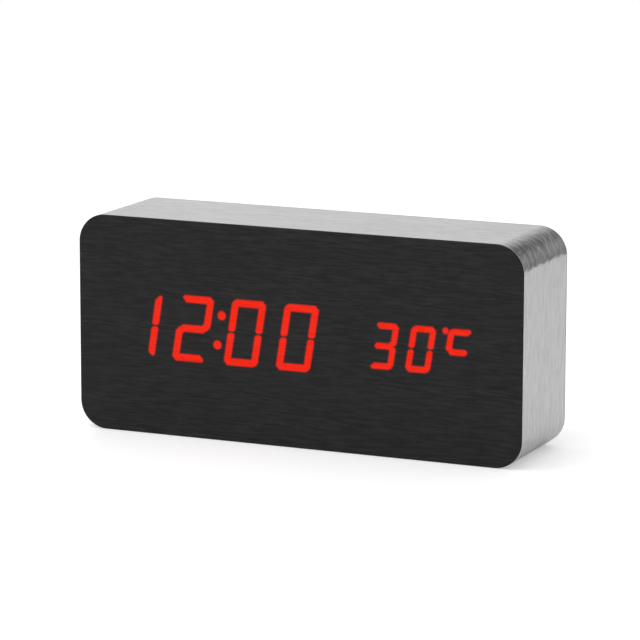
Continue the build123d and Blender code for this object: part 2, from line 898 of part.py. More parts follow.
def door_hook(x):
    """L-shaped hook that reaches behind the cover's lower edge."""
    root = mouth_bottom + door_gap
    toe_rear = cover_front - tab_lip_gap
    leg = strip(toe_rear, door_front, root, root + tab_leg)
    toe = strip(toe_rear - tab_thickness, toe_rear, mouth_bottom - tab_reach, root + tab_leg)
    return along_width(leg + toe, x - tab_width / 2, x + tab_width / 2)


def door_latch():
    """Spring tongue: a U behind the door's upper edge, with a barb and a thumb end."""
    middle = (latch_low + latch_high) / 2
    outer = latch_bend + latch_thickness
    half = latch_thickness / 2
    fixed_leg = strip(latch_turn, door_front, latch_low - half, latch_low + half)
    free_leg = strip(latch_turn, cover_rear - latch_sink, latch_high - half, latch_top)
    bend = Pos(latch_turn, middle) * (Circle(outer) - Circle(latch_bend))
    bend &= strip(latch_turn - outer, latch_turn, middle - outer, middle + outer)
    barb = Polygon(
        (cover_front, latch_top),
        (cover_front, latch_top + barb_height),
        (cover_front - barb_length, latch_top),
        align=None,
    )
    profile = fixed_leg + free_leg + bend + barb
    return along_width(profile, bay_x - latch_width / 2, bay_x + latch_width / 2)


def grip_rib(index):
    """Half-round rib on the door for the thumb."""
    z = mouth_top - grip_rib_top - index * grip_rib_pitch
    outline = Pos(cover_rear, z) * Circle(grip_rib_radius)
    return along_width(outline, bay_x - grip_rib_width / 2, bay_x + grip_rib_width / 2)


def battery_door():
    door = along_depth(bay_outline(door_ledge - door_gap, door_corner), door_front, cover_rear)
    door = chamfer(rear_edges(door), door_bevel)
    door += door_latch()
    for x in tab_centres():
        door += door_hook(x)
    for i in range(grip_rib_count):
        door += grip_rib(i)
    return door


# ================================================================================== keys


def key_mark(name, x, top):
    """Raised mark in the key's dish: a dot, or a triangle that points up or down."""
    outline = Circle(key_mark_size / 2)
    if name != "set":
        outline = Rot(0, 0, 90 if name == "up" else -90) * RegularPolygon(key_mark_size, 3)
    return along_depth(Pos(x, key_z) * outline, top - 2 * key_dish_depth, top)


def key_cap(name):
    """Turned cap with a dished top, a flange behind the cover and a boss that meets the switch."""
    x = key_xs[key_names.index(name)]
    top = cover_rear + key_proud
    profile = [
        (0, stem_top),
        (key_boss_radius, stem_top),
        (key_boss_radius, flange_front),
        (key_radius + key_flange, flange_front),
        (key_radius + key_flange, flange_rear),
        (key_radius, flange_rear),
        (key_radius, top - key_edge_round),
        (key_radius - key_edge_round * corner_share, top - key_edge_round * corner_share),
        (key_radius - key_edge_round, top),
        (key_radius - 2 * key_edge_round, top),
        (key_radius - 3 * key_edge_round, top - key_dish_depth),
        (0, top - key_dish_depth),
    ]
    return turned(profile, x, key_z) + key_mark(name, x, top)


def switch_stem(name):
    x = key_xs[key_names.index(name)]
    return rod(switch_stem_radius, x, key_z, key_board_rear + switch_floor + switch_free, stem_top)


def switch_housings():
    """Square switch bodies on the key board, with the holes that their stems move in."""
    bottom, top = key_board_rear, key_board_rear + switch_height
    outline = RectangleRounded(switch_size, switch_size, switch_corner)
    well = switch_stem_radius + switch_stem_gap
    return group(
        along_depth(Pos(x, key_z) * outline, bottom, top) - rod(well, x, key_z, bottom + switch_floor, top)
        for x in key_xs
    )


def key_board():
    outline = Pos(key_board_x, middle_z) * RectangleRounded(
        key_board_width, key_board_height, key_board_corner
    )
    board = along_depth(outline, key_board_front, key_board_rear)
    for x, z in board_boss_points():
        board -= rod(board_screw_radius, x, z, key_board_front, key_board_rear)
    return board


def key_board_screws():
    return group(board_screw(x, z, key_board_front, -1) for x, z in board_boss_points())


# ================================================================================== inlet, sounder, sensors


def dc_jack():
    """Upright inlet on the key board, with its round nose in the cover's hole."""
    shoulder = key_board_rear + jack_body_height
    outline = Pos(jack_x, jack_z) * RectangleRounded(jack_body, jack_body, jack_corner)
    body = along_depth(outline, key_board_rear, shoulder)
    body += rod(jack_nose_radius, jack_x, jack_z, shoulder, jack_mouth)
    body -= rod(jack_bore_radius, jack_x, jack_z, jack_bore_floor, jack_mouth)
    body -= rod(jack_pin_base_radius, jack_x, jack_z, key_board_rear, jack_bore_floor)
    return body - jack_blade()


def jack_pin():
    tip = jack_mouth - jack_pin_sink
    profile = [
        (0, key_board_rear),
        (jack_pin_base_radius, key_board_rear),
        (jack_pin_base_radius, jack_bore_floor),
        (jack_pin_radius, jack_bore_floor),
        (jack_pin_radius, tip - jack_pin_radius / 2),
        (jack_pin_radius / 2, tip),
        (0, tip),
    ]
    return turned(profile, jack_x, jack_z)


def jack_blade():
    """Contact for the plug's sleeve, let into the side of the bore."""
    top = jack_z - jack_bore_radius
    half = jack_blade_width / 2
    outline = strip(jack_x - half, jack_x + half, top - jack_blade_thickness, top)
    return along_depth(outline, jack_bore_floor, jack_mouth - jack_floor)


def buzzer():
    bottom, top = key_board_rear, key_board_rear + buzzer_height
    profile = [
        (0, bottom),
        (buzzer_radius, bottom),
        (buzzer_radius, top - buzzer_bevel),
        (buzzer_radius - buzzer_bevel, top),
        (buzzer_port_radius, top),
        (buzzer_port_radius, top - buzzer_port_depth),
        (0, top - buzzer_port_depth),
    ]
    return turned(profile, buzzer_x, buzzer_z)


def sensor_legs(z, spread, rear):
    """Two straight legs from the key board to a sensor."""
    return [rod(sensor_leg_radius, sensor_x + side * spread, z, key_board_rear, rear) for side in (-1, 1)]


def microphone():
    bottom = cover_front - microphone_height
    capsule = rod(microphone_radius, sensor_x, microphone_z, bottom, cover_front)
    capsule = chamfer(rear_edges(capsule), microphone_bevel)
    return capsule + sensor_legs(microphone_z, microphone_leg_spread, bottom)


def thermistor():
    """Bead on two legs, just behind the vents."""
    bead_y = cover_front - thermistor_vent_gap - thermistor_bead_radius
    bead = Pos(sensor_x, bead_y, thermistor_z) * Sphere(thermistor_bead_radius)
    return bead + sensor_legs(thermistor_z, thermistor_leg_spread, bead_y)


# ================================================================================== wiring


def wire_socket(z, seat, direction):
    """Wire-to-board socket in line with the key board; direction +1 stands towards the back."""
    far = seat + direction * socket_depth
    deep = far - direction * ribbon_seat
    body = Pos(key_board_x, z) * Rectangle(socket_width, socket_height)
    mouth = Pos(key_board_x, z) * Rectangle(ribbon_width, ribbon_thickness)
    return along_depth(body, min(seat, far), max(seat, far)) - along_depth(
        mouth, min(deep, far), max(deep, far)
    )


def main_board_socket():
    return wire_socket(middle_z + ribbon_rise, pcb_rear, 1)


def key_board_socket():
    return wire_socket(middle_z - ribbon_rise, key_board_front, -1)


def key_ribbon():
    """Flat cable in an S between the two sockets."""
    start = pcb_rear + socket_depth - ribbon_seat
    end = key_board_front - socket_depth + ribbon_seat
    turn = (start + end) / 2
    path = FilletPolyline(
        (start, middle_z + ribbon_rise),
        (turn, middle_z + ribbon_rise),
        (turn, middle_z - ribbon_rise),
        (end, middle_z - ribbon_rise),
        radius=min(ribbon_bend, 0.95 * (turn - start)),
    )
    half = ribbon_width / 2
    return along_width(trace(path, ribbon_thickness), key_board_x - half, key_board_x + half)


def battery_lead(row):
    """Insulated wire from an end contact's lug to the key board."""
    z = cell_rows()[row][0]
    lug_y = bay_floor_front - lug_length / 2
    pad_x = key_board_x + key_board_width / 2 - lead_inset
    path = FilletPolyline(
        (bay_left, lug_y, z),
        (pad_x, lug_y, z),
        (pad_x, key_board_front, z),
        radius=min(lead_bend, 0.95 * (key_board_front - lug_y)),
    )
    section = Plane(origin=path @ 0, z_dir=path % 0) * Circle(lead_radius)
    return sweep(section, path=path)


# ================================================================================== build

nodes = {
    "face_film": face_film(),
    "edge_film": edge_film(),
    "rear_film": rear_film(),
    "front_board": front_board(),
    "case_frame": case_frame(),
    "display_housing": display_housing(),
    "time_diffusers": diffusers(time_strokes()),
    "temperature_diffusers": diffusers(degree_strokes()),
    "led_chips": led_chips(),
    "main_board": main_board(),
    "main_board_screws": main_board_screws(),
    "microcontroller": microcontroller(),
    "led_driver": led_driver(),
    "clock_chip": clock_chip(),
    "crystal": crystal(),
    "capacitor": capacitor(),
    "rear_cover": rear_cover(),
    "cover_screws": cover_screws(),
    "battery_contacts": battery_contacts(),
    "battery_springs": battery_springs(),
    "battery_door": battery_door(),
    "switch_housings": switch_housings(),
    "key_board": key_board(),
    "key_board_screws": key_board_screws(),
    "dc_jack": dc_jack(),
    "jack_pin": jack_pin(),
    "jack_blade": jack_blade(),
    "buzzer": buzzer(),
    "microphone": microphone(),
    "thermistor": thermistor(),
    "main_board_socket": main_board_socket(),
    "key_board_socket": key_board_socket(),
    "key_ribbon": key_ribbon(),
    "battery_lead_negative": battery_lead(0),
    "battery_lead_positive": battery_lead(cell_count - 1),
}
for i in range(cell_count):
    nodes[f"battery_cell_{i + 1}"] = battery_cell(i)
for name in key_names:
    nodes[f"key_{name}"] = key_cap(name)
    nodes[f"switch_stem_{name}"] = switch_stem(name)

os.makedirs("parts", exist_ok=True)
for name, shape in nodes.items():
    export_step(shape, f"parts/{name}.step")
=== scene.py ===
import json
import math

import bmesh
import bpy
import numpy as np
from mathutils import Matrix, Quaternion, Vector, geometry


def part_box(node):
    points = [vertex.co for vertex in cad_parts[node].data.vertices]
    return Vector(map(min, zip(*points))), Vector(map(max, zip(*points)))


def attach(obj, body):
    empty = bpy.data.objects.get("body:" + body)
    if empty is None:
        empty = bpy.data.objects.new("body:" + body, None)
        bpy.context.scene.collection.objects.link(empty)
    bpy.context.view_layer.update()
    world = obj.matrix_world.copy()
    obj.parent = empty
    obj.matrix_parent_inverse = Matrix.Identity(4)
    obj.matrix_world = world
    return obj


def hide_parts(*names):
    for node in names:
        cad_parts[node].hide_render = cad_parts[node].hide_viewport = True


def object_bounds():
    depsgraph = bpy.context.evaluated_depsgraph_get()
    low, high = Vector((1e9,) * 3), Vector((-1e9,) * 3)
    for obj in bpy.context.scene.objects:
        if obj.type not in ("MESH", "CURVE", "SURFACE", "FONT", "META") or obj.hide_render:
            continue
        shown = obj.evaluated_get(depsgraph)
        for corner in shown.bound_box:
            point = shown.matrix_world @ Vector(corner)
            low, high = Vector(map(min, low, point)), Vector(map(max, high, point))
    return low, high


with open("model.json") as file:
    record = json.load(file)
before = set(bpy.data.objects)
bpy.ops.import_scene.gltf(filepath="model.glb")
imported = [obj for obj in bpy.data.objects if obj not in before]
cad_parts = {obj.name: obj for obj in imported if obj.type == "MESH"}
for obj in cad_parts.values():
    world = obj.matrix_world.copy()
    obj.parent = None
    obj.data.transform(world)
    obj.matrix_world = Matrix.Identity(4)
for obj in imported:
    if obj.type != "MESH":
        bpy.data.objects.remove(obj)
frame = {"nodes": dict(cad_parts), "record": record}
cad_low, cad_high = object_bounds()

# Desk clock in a rounded block case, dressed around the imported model. Metres, +X to the right as
# seen from the front, the face looks towards -Y, +Z up, and the block stands on z = 0.

MM = 0.001

# ---------------------------------------------------------------------------------- case
CORNER = 9 * MM  # radius of the block's four long edges
CORNER_STEPS = 32
FACE_RIM = 0.5 * MM  # width of the face film's rolled edge
FACE_RIM_DEPTH = 0.27 * MM
RIM_STEPS = 5
FILM_EDGE = 0.25 * MM  # rounding of the silver film's cut edges
REAR_RIM = 0.2 * MM
STRAIGHT_SIDE = 30 * MM  # from the mid height, where the rear film's inner edge is straight

# Degrees between two faces, above which the edge between them stays sharp
NODE_CREASE = 32
FILM_CREASE = 40
FACE_CREASE = 60

# ---------------------------------------------------------------------------------- digits
# Millimetres on the face: x to the right, z above the table.
SLANT = 0.158  # sideways shift for each millimetre up
CORNER_CUT = 1.3  # bevel of a digit's outer corners
MIDDLE_GAP = 0.28  # from a stroke's blunt end to the digit's mid height
TIP_CUT = 0.5  # bevel of the blunt ends
MIDDLE_REACH = 0.1  # of the middle stroke, past the line of the upright strokes
BEND = 0.27  # how far the light of two strokes is drawn in where they meet at a corner
MIDDLE_BEND = 0.6  # and where the middle stroke meets an upright one
ROUNDING = 0.6  # of every corner, by the spread of the light
SOFT_EDGE = 0.36  # over which a lit shape fades, each way from its outline
HALO = 1.4  # reach of the faint glow round it
ARC_STEP = 2 * math.pi / 24  # between the points of a round outline
SAME_POINT = 1e-7  # metres under which two points of the face mesh are one
TIME_DIGITS = {
    "shown": ["bc", "abged", "abcdef", "abcdef"],
    "first_x": -53.0,
    "pitch": 17.87,
    "mid_z": 34.9,
    "half_width": 4.66,
    "half_height": 9.4,
    "stroke": 2.24,
}
DEGREE_DIGITS = {
    "shown": ["abgcd", "abcdef", "afg"],
    "first_x": 29.56,
    "pitch": 12.2,
    "mid_z": 34.77,
    "half_width": 3.12,
    "half_height": 6.31,
    "stroke": 1.86,
}
# (x, z, radius) of the two dots of the colon, and of the degree dot
DOTS = [(-25.22, 39.9, 1.38), (-26.72, 30.45, 1.38), (49.9, 41.2, 0.97)]

# ---------------------------------------------------------------------------------- finishes
# Periods of the noises (along X, Y and Z) and reliefs are in millimetres. A share is how much of
# its colour a layer gives at most, and a roughness runs from the first number to the second.
MOST = (0.3, 0.7)  # ranges that most, or nearly all, of a noise lies in
NEARLY_ALL = (0.2, 0.8)
PORES = (0.56, 0.72)  # the top of a noise, for spots or lines that stand apart
BLACK_FILM = {
    "fibre_period": (7, 7, 0.65),
    "fibre_relief": 0.075,
    "valley": (0.0025, 0.0025, 0.0027),
    "ridge": (0.014, 0.014, 0.0145),
    "band_period": (70, 70, 5),
    "band": (0.004, 0.004, 0.0042),
    "band_share": 0.3,
    "pore_period": (4, 4, 0.5),
    "pore_relief": -0.04,
    "pore": (0.0015, 0.0015, 0.0015),
    "pore_share": 0.8,
    "roughness": (0.54, 0.39),
    "gloss": 0.28,
}
LIGHT_COLOUR = (1.0, 0.012, 0.0, 1)
LIGHT_STRENGTH = 0.88
HALO_STRENGTH = 0.012  # as a share of the light itself
PORE_LIGHT = 0.86  # share of the light that gets through a pore
LIT_GLOSS = (1.0, 0.35, 0.2)  # tint of the gloss over the lit strokes
SILVER_FILM = {
    "streak_period": (7, 1.3, 7),
    "streak_relief": 0.02,
    "dark": (0.53, 0.529, 0.528),
    "light": (0.635, 0.634, 0.633),
    "pore_period": (5, 0.8, 5),
    "pore": (0.42, 0.418, 0.416),
    "pore_share": 0.5,
    "wave_period": (2.4, 3.0, 2.4),
    "wave_relief": 0.17,
    "cloud_period": (30, 14, 30),
    "roughness": (0.21, 0.28),
    "metal": 0.9,
    "gloss": 0.5,
}
FLAT_WAVES = 0.2  # share of the waves on the block's flat top and underside
BEND_START = 60 * MM  # from the block's middle, where the silver film starts to be wavy
BEND_END = 69 * MM  # and where it is fully so
BOARD = {
    "fibre_period": (0.5, 0.9, 0.4),
    "fibre_relief": 0.06,
    "dark": (0.20, 0.125, 0.07),
    "light": (0.42, 0.29, 0.18),
    "layer_period": (20, 1.2, 20),
    "layer": (0.24, 0.16, 0.095),
    "layer_share": 0.35,
    "roughness": (0.75, 0.95),
}
SOLDER_MASK = {
    "weave_period": (0.6, 0.6, 0.6),
    "dark": (0.008, 0.075, 0.028),
    "light": (0.014, 0.11, 0.042),
    "track_period": (9, 9, 0.9),
    "track_range": (0.5, 0.53),
    "track_relief": 0.03,
    "track": (0.02, 0.16, 0.055),
    "track_share": 0.6,
    "roughness": (0.25, 0.38),
}
MILKY = {
    "period": (1.5, 1.5, 1.5),
    "relief": 0.01,
    "dark": (0.70, 0.60, 0.56),
    "light": (0.82, 0.74, 0.70),
    "roughness": (0.3, 0.45),
}
CELL = {
    "cap_band": (0.42, 0.43, 0.44),
    "cap_band_metal": 0.8,
    "sleeve": (0.018, 0.05, 0.13),
    "wear_period": (7, 7, 7),
    "wear_relief": 0.01,
    "wear": (0.02, 0.02, 0.025),
    "wear_share": 0.12,
    "bare": (0.62, 0.61, 0.59),
    "roughness": (0.24, 0.34),
}
CAP_BAND_START = 11.9 * MM  # the cap's band ends between these, measured from the cap's end
CAP_BAND_END = 12.0 * MM
LAP_START = 0.75 * MM  # the sleeve laps over the can's ends down to between these
LAP_END = 0.65 * MM
CELL_END = 0.05 * MM  # how near a point is to count as part of a cell's end
TURNED_MARKS = (0.25, 1.5, 0.25)
# Moulded plastics by slot: darkest colour, lightest colour, roughness, relief in millimetres, and
# the texture's period in millimetres where it isn't the usual one
MOULDED = {
    "light_box": ((0.68, 0.68, 0.66), (0.76, 0.76, 0.74), 0.5, 0.01),
    "led_chip": ((0.75, 0.68, 0.35), (0.82, 0.78, 0.5), 0.35, 0.004),
    "chip_epoxy": ((0.012, 0.012, 0.012), (0.02, 0.02, 0.02), 0.6, 0.01, 0.2),
    "black_abs": ((0.012, 0.012, 0.0125), (0.017, 0.017, 0.0175), 0.5, 0.05),
    "key_plastic": ((0.022, 0.022, 0.023), (0.03, 0.03, 0.031), 0.38, 0.006),
    "switch_plastic": ((0.03, 0.03, 0.03), (0.04, 0.04, 0.04), 0.5, 0.01),
    "inlet_plastic": ((0.010, 0.010, 0.010), (0.015, 0.015, 0.015), 0.42, 0.008),
    "thermistor_epoxy": ((0.015, 0.015, 0.04), (0.03, 0.03, 0.06), 0.25, 0.01),
    "socket_nylon": ((0.66, 0.64, 0.58), (0.72, 0.70, 0.64), 0.45, 0.01),
    "ribbon_vinyl": ((0.30, 0.30, 0.31), (0.36, 0.36, 0.37), 0.5, 0.01),
    "lead_black": ((0.012, 0.012, 0.012), (0.018, 0.018, 0.018), 0.45, 0.01),
    "lead_red": ((0.38, 0.012, 0.012), (0.46, 0.02, 0.018), 0.45, 0.01),
}
# Metals by slot: colour, roughness, period of the marks in millimetres
PLATED = {
    "zinc_screw": ((0.60, 0.60, 0.61), 0.3, TURNED_MARKS),
    "component_can": ((0.66, 0.66, 0.66), 0.32, (0.3, 0.3, 0.3)),
    "nickel_plate": ((0.66, 0.64, 0.60), 0.25, (0.4, 0.4, 2.0)),
    "contact_brass": ((0.72, 0.55, 0.26), 0.22, TURNED_MARKS),
}
MOULDED_PERIOD = 0.35
FLOW_PERIOD = (12, 12, 12)
BOTH_NOISES = (0.6, 1.4)  # range that most of the sum of two noises lies in
MOULDED_SPREAD = (-0.05, 0.06)  # of the roughness
PLATED_RELIEF = 0.006
PLATED_SPREAD = (-0.06, 0.08)
STAIN_PERIOD = (2.5, 2.5, 2.5)
STAIN_RANGE = (0.35, 0.7)
STAIN_SHARE = 0.5
STAIN_SHADE = 0.72  # of a metal's colour, in its stains

# ---------------------------------------------------------------------------------- stage
WHITE = (1, 1, 1, 1)
FLOOR_DROP = 0.1 * MM  # under the block, so that the two surfaces don't share a plane
FLOOR_SIZE = 1.5
FLOOR_DARK, FLOOR_LIGHT = (0.80, 0.80, 0.80), (0.82, 0.82, 0.82)
FLOOR_PERIOD = (240, 240, 240)
FLOOR_ROUGHNESS = 0.42
FLOOR_GLOSS = 0.25
FLOOR_GLOW = 0.33  # for the camera, so that the pale floor looks white
GLOW_SHARE = 0.1  # of that glow, in reflections
LAMP_PLACE = (-0.24, -0.35, 1.31)
LAMP_SIZE = 0.9
LAMP_WATTS = 6.5
# The world's light by direction, as ramps: start, end, value before, value after. The flag is
# a piece of a ring about +Y, and x squared plus z squared tells how far out it lies.
WALL_BY_HEIGHT = (0.2, 0.9, 0.8, 0.85)
FLAG_BY_X = (-0.43, 0.12, 0, 1)
FLAG_BY_Y = (0.25, 0.6, 0, 1)
FLAG_INNER_RIM = (0.05, 0.11, 0, 1)
FLAG_OUTER_RIM = (0.3, 0.44, 1, 0)
# Share of light left on the flag: it rises with the height, then falls away
STRIPE_RISE = (-0.1, 0.15, 0.08, 0.24)
STRIPE_FALL = (0.24, 0.38, 1, 0)

# ---------------------------------------------------------------------------------- camera
CAMERA_AZIMUTH = 23.81  # degrees from the front towards +X
CAMERA_ELEVATION = 10.96
CAMERA_ROLL = 0.13
CAMERA_DISTANCE = 1.12358
CAMERA_AIM = Vector((-0.00027, 0.00033, 0.03711))
CAMERA_LENS = 201.36  # millimetres, as is the sensor's width
SENSOR = 36.0


# ================================================================================== nodes


class Nodes:
    """A node tree in the making: each method adds its nodes and returns an output."""

    def __init__(self, tree):
        self.tree = tree
        self.tree.nodes.clear()

    def node(self, kind, inputs, output=0, **settings):
        node = self.tree.nodes.new("ShaderNode" + kind)
        for name, value in settings.items():
            setattr(node, name, value)
        for name, value in inputs.items():
            if isinstance(value, bpy.types.NodeSocket):
                self.tree.links.new(value, node.inputs[name])
            else:
                node.inputs[name].default_value = value
        return node.outputs[output]

    def split(self, vector):
        """The vector's X, Y and Z."""
        return self.node("SeparateXYZ", {"Vector": vector}).node.outputs

    def span(self, value, start, end, low=0.0, high=1.0):
        """Smooth ramp: low before the start, high after the end."""
        inputs = {"Value": value, "From Min": start, "From Max": end, "To Min": low, "To Max": high}
        return self.node("MapRange", inputs, interpolation_type="SMOOTHSTEP")

    def math(self, operation, first, second=0.0):
        return self.node("Math", {0: first, 1: second}, operation=operation)

    def times(self, first, second):
        return self.math("MULTIPLY", first, second)

    def close(self, kind, shader):
        """Ends the tree with its output node."""
        output = self.tree.nodes.new("ShaderNodeOutput" + kind)
        self.tree.links.new(shader, output.inputs["Surface"])


class Finish(Nodes):
    """A material in the making."""

    def __init__(self, name):
        self.material = bpy.data.materials.new(name)
        self.material.use_nodes = True
        super().__init__(self.material.node_tree)
        self.place = self.node("TexCoord", {}, "Object")

    def noise(self, periods, detail=3.0, roughness=0.5):
        """Noise from 0 to 1, with its period in millimetres along X, Y and Z."""
        stretch = [1 / (p * MM) for p in periods]
        vector = self.node("VectorMath", {0: self.place, 1: stretch}, operation="MULTIPLY")
        inputs = {"Vector": vector, "Scale": 1.0, "Detail": detail, "Roughness": roughness}
        return self.node("TexNoise", inputs)

    def pores(self, periods):
        """1 in the pores of a film, 0 between them."""
        return self.span(self.noise(periods, 2.0), *PORES)

    def tint(self, share, first, second):
        """From the first colour to the second by the share."""
        ends = [c if isinstance(c, bpy.types.NodeSocket) else (*c, 1) for c in (first, second)]
        return self.node("Mix", {0: share, 6: ends[0], 7: ends[1]}, 2, data_type="RGBA")

    def bump(self, height, depth, normal=None):
        """Relief whose height runs over the depth in millimetres."""
        inputs = {"Height": height, "Distance": depth * MM, "Strength": 1.0}
        if normal:
            inputs["Normal"] = normal
        return self.node("Bump", inputs)

    def surface(self, colour, roughness, normal, **others):
        """The finished material; other inputs are named with underscores for spaces."""
        inputs = {"Base Color": colour, "Roughness": roughness, "Normal": normal}
        inputs |= {name.replace("_", " "): value for name, value in others.items()}
        self.close("Material", self.node("BsdfPrincipled", inputs))
        return self.material


# ================================================================================== finishes


def black_grain(name, lit):
    """Black film embossed with a fine grain that runs across.

    Where it is lit, the digits' light shines through, by the mesh's edge_distance.
    """
    f, look = Finish(name), BLACK_FILM
    bands = f.noise(look["band_period"], 2.0)
    fibres = f.noise(look["fibre_period"], 3.0, 0.6)
    pores = f.pores(look["pore_period"])
    colour = f.tint(f.span(fibres, *MOST), look["valley"], look["ridge"])
    colour = f.tint(f.span(bands, *MOST, 0.0, look["band_share"]), colour, look["band"])
    colour = f.tint(f.times(pores, look["pore_share"]), colour, look["pore"])
    roughness = f.span(fibres, *MOST, *look["roughness"])
    normal = f.bump(fibres, look["fibre_relief"], f.bump(pores, look["pore_relief"]))
    others = {"Specular_IOR_Level": look["gloss"]}
    if lit:
        edge = f.node("Attribute", {}, "Fac", attribute_name="edge_distance")
        core = f.span(edge, SOFT_EDGE, -SOFT_EDGE)
        halo = f.math("POWER", f.span(edge, HALO, 0.0), 2.0)
        grain = f.span(pores, 0.0, 1.0, 1.0, PORE_LIGHT)
        light = f.math("ADD", f.times(core, grain), f.times(halo, HALO_STRENGTH))
        others["Emission_Color"] = LIGHT_COLOUR
        others["Emission_Strength"] = f.times(light, LIGHT_STRENGTH)
        others["Specular_Tint"] = f.tint(core, WHITE[:3], LIT_GLOSS)
    return f.surface(colour, roughness, normal, **others)


def silver_grain():
    """Silver-grey film, brushed round the block, and wavier on its bends and sides."""
    f, look = Finish("silver_grain_film"), SILVER_FILM
    across = f.math("ABSOLUTE", f.split(f.place)[0])
    bend = f.span(across, BEND_START, BEND_END, FLAT_WAVES, 1.0)
    waves = f.times(bend, f.noise(look["wave_period"], 1.0))
    streaks = f.noise(look["streak_period"], 3.0, 0.6)
    clouds = f.noise(look["cloud_period"], 2.0)
    pores = f.pores(look["pore_period"])
    colour = f.tint(f.span(streaks, *MOST), look["dark"], look["light"])
    colour = f.tint(f.times(pores, look["pore_share"]), colour, look["pore"])
    roughness = f.span(clouds, *MOST, *look["roughness"])
    normal = f.bump(streaks, look["streak_relief"], f.bump(waves, look["wave_relief"]))
    others = {"Metallic": look["metal"], "Specular_IOR_Level": look["gloss"]}
    return f.surface(colour, roughness, normal, **others)


def fibreboard():
    """Matted fibres, in faint layers along the block's depth."""
    f, look = Finish("fibreboard"), BOARD
    fibres = f.noise(look["fibre_period"], 5.0, 0.7)
    layers = f.noise(look["layer_period"], 2.0)
    colour = f.tint(fibres, look["dark"], look["light"])
    colour = f.tint(f.span(layers, *MOST, 0.0, look["layer_share"]), colour, look["layer"])
    roughness = f.span(fibres, *NEARLY_ALL, *look["roughness"])
    return f.surface(colour, roughness, f.bump(fibres, look["fibre_relief"]))


def moulded(name, dark, light, roughness, relief, period=MOULDED_PERIOD):
    """Moulded plastic with a fine eroded texture and faint flow clouds."""
    f = Finish(name)
    spark = f.noise((period, period, period), 3.0, 0.6)
    clouds = f.noise(FLOW_PERIOD, 2.0)
    colour = f.tint(f.span(clouds, *MOST), dark, light)
    spread = [roughness + change for change in MOULDED_SPREAD]
    rough = f.span(f.math("ADD", spark, clouds), *BOTH_NOISES, *spread)
    return f.surface(colour, rough, f.bump(spark, relief))


def plated(name, colour, roughness, period):
    """Plated or turned metal with fine marks and faint stains."""
    f = Finish(name)
    marks = f.noise(period, 3.0, 0.6)
    stains = f.span(f.noise(STAIN_PERIOD, 3.0), *STAIN_RANGE, 0.0, STAIN_SHARE)
    tint = f.tint(stains, colour, [c * STAIN_SHADE for c in colour])
    spread = [roughness + change for change in PLATED_SPREAD]
    rough = f.span(marks, *NEARLY_ALL, *spread)
    return f.surface(tint, rough, f.bump(marks, PLATED_RELIEF), Metallic=1.0)


def circuit_board():
    """Green solder mask with faint tracks under it."""
    f, look = Finish("circuit_board"), SOLDER_MASK
    weave = f.noise(look["weave_period"], 2.0)
    tracks = f.span(f.noise(look["track_period"], 2.0), *look["track_range"])
    colour = f.tint(weave, look["dark"], look["light"])
    colour = f.tint(f.times(tracks, look["track_share"]), colour, look["track"])
    roughness = f.span(weave, *NEARLY_ALL, *look["roughness"])
    return f.surface(colour, roughness, f.bump(tracks, look["track_relief"]))


def milky():
    """Cloudy plastic of the light channels' plugs."""
    f, look = Finish("milky_diffuser"), MILKY
    clouds = f.noise(look["period"], 3.0)
    colour = f.tint(clouds, look["dark"], look["light"])
    roughness = f.span(clouds, *NEARLY_ALL, *look["roughness"])
    return f.surface(colour, roughness, f.bump(clouds, look["relief"]))


def cap_end(node):
    """X of a cell's cap, which is its narrow end, and the way from there into the cell."""
    low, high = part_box(node)
    middle = (low.z + high.z) / 2
    points = [v.co for v in frame["nodes"][node].data.vertices]
    left, right = [
        max(abs(p.z - middle) for p in points if abs(p.x - end) < CELL_END)
        for end in (low.x, high.x)
    ]
    return (high.x, -1.0) if right < left else (low.x, 1.0)


def cell_wrap(node):
    """Plain two-colour sleeve round a steel can, told from the cell's own place and direction."""
    low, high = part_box(node)
    radius = (high.z - low.z) / 2
    axis = (0, (low.y + high.y) / 2, (low.z + high.z) / 2)
    cap, inwards = cap_end(node)
    f, look = Finish("cell_wrap_" + node[-1]), CELL
    along = f.times(f.math("SUBTRACT", f.split(f.place)[0], cap), inwards)
    past_band = f.span(along, CAP_BAND_START, CAP_BAND_END)
    wear = f.noise(look["wear_period"], 2.0)
    centred = f.node("VectorMath", {0: f.place, 1: axis}, operation="SUBTRACT")
    flat = f.node("VectorMath", {0: centred, 1: (0, 1, 1)}, operation="MULTIPLY")
    out = f.node("VectorMath", {0: flat}, "Value", operation="LENGTH")
    bare = f.span(out, radius - LAP_START, radius - LAP_END, 1.0, 0.0)
    sleeve = f.tint(past_band, look["cap_band"], look["sleeve"])
    sleeve = f.tint(f.span(wear, *MOST, 0.0, look["wear_share"]), sleeve, look["wear"])
    colour = f.tint(bare, sleeve, look["bare"])
    band_metal = f.times(f.math("SUBTRACT", 1.0, past_band), look["cap_band_metal"])
    metal = f.math("MAXIMUM", bare, band_metal)
    roughness = f.span(wear, *NEARLY_ALL, *look["roughness"])
    return f.surface(colour, roughness, f.bump(wear, look["wear_relief"]), Metallic=metal)


def make_finishes():
    """One material for each of the record's slots but the cells', which each have their own."""
    finishes = {
        "black_grain_film": black_grain("black_grain_film", lit=False),
        "silver_edge_film": silver_grain(),
        "fibreboard": fibreboard(),
        "digit_diffuser": milky(),
        "circuit_board": circuit_board(),
    }
    finishes |= {slot: moulded(slot, *look) for slot, look in MOULDED.items()}
    finishes |= {slot: plated(slot, *look) for slot, look in PLATED.items()}
    return finishes


def dress_nodes(finishes):
    """Gives each CAD node the finish of its slot, and round faces smooth shading."""
    for part in frame["record"]["subparts"]:
        node = frame["nodes"][part["node"]]
        slot = part["material_slot"]
        finish = cell_wrap(part["node"]) if slot == "cell_can" else finishes[slot]
        node.data.shade_smooth()
        node.data.set_sharp_from_angle(angle=math.radians(NODE_CREASE))
        for material_slot in node.material_slots:
            material_slot.material = finish


# ================================================================================== case's films


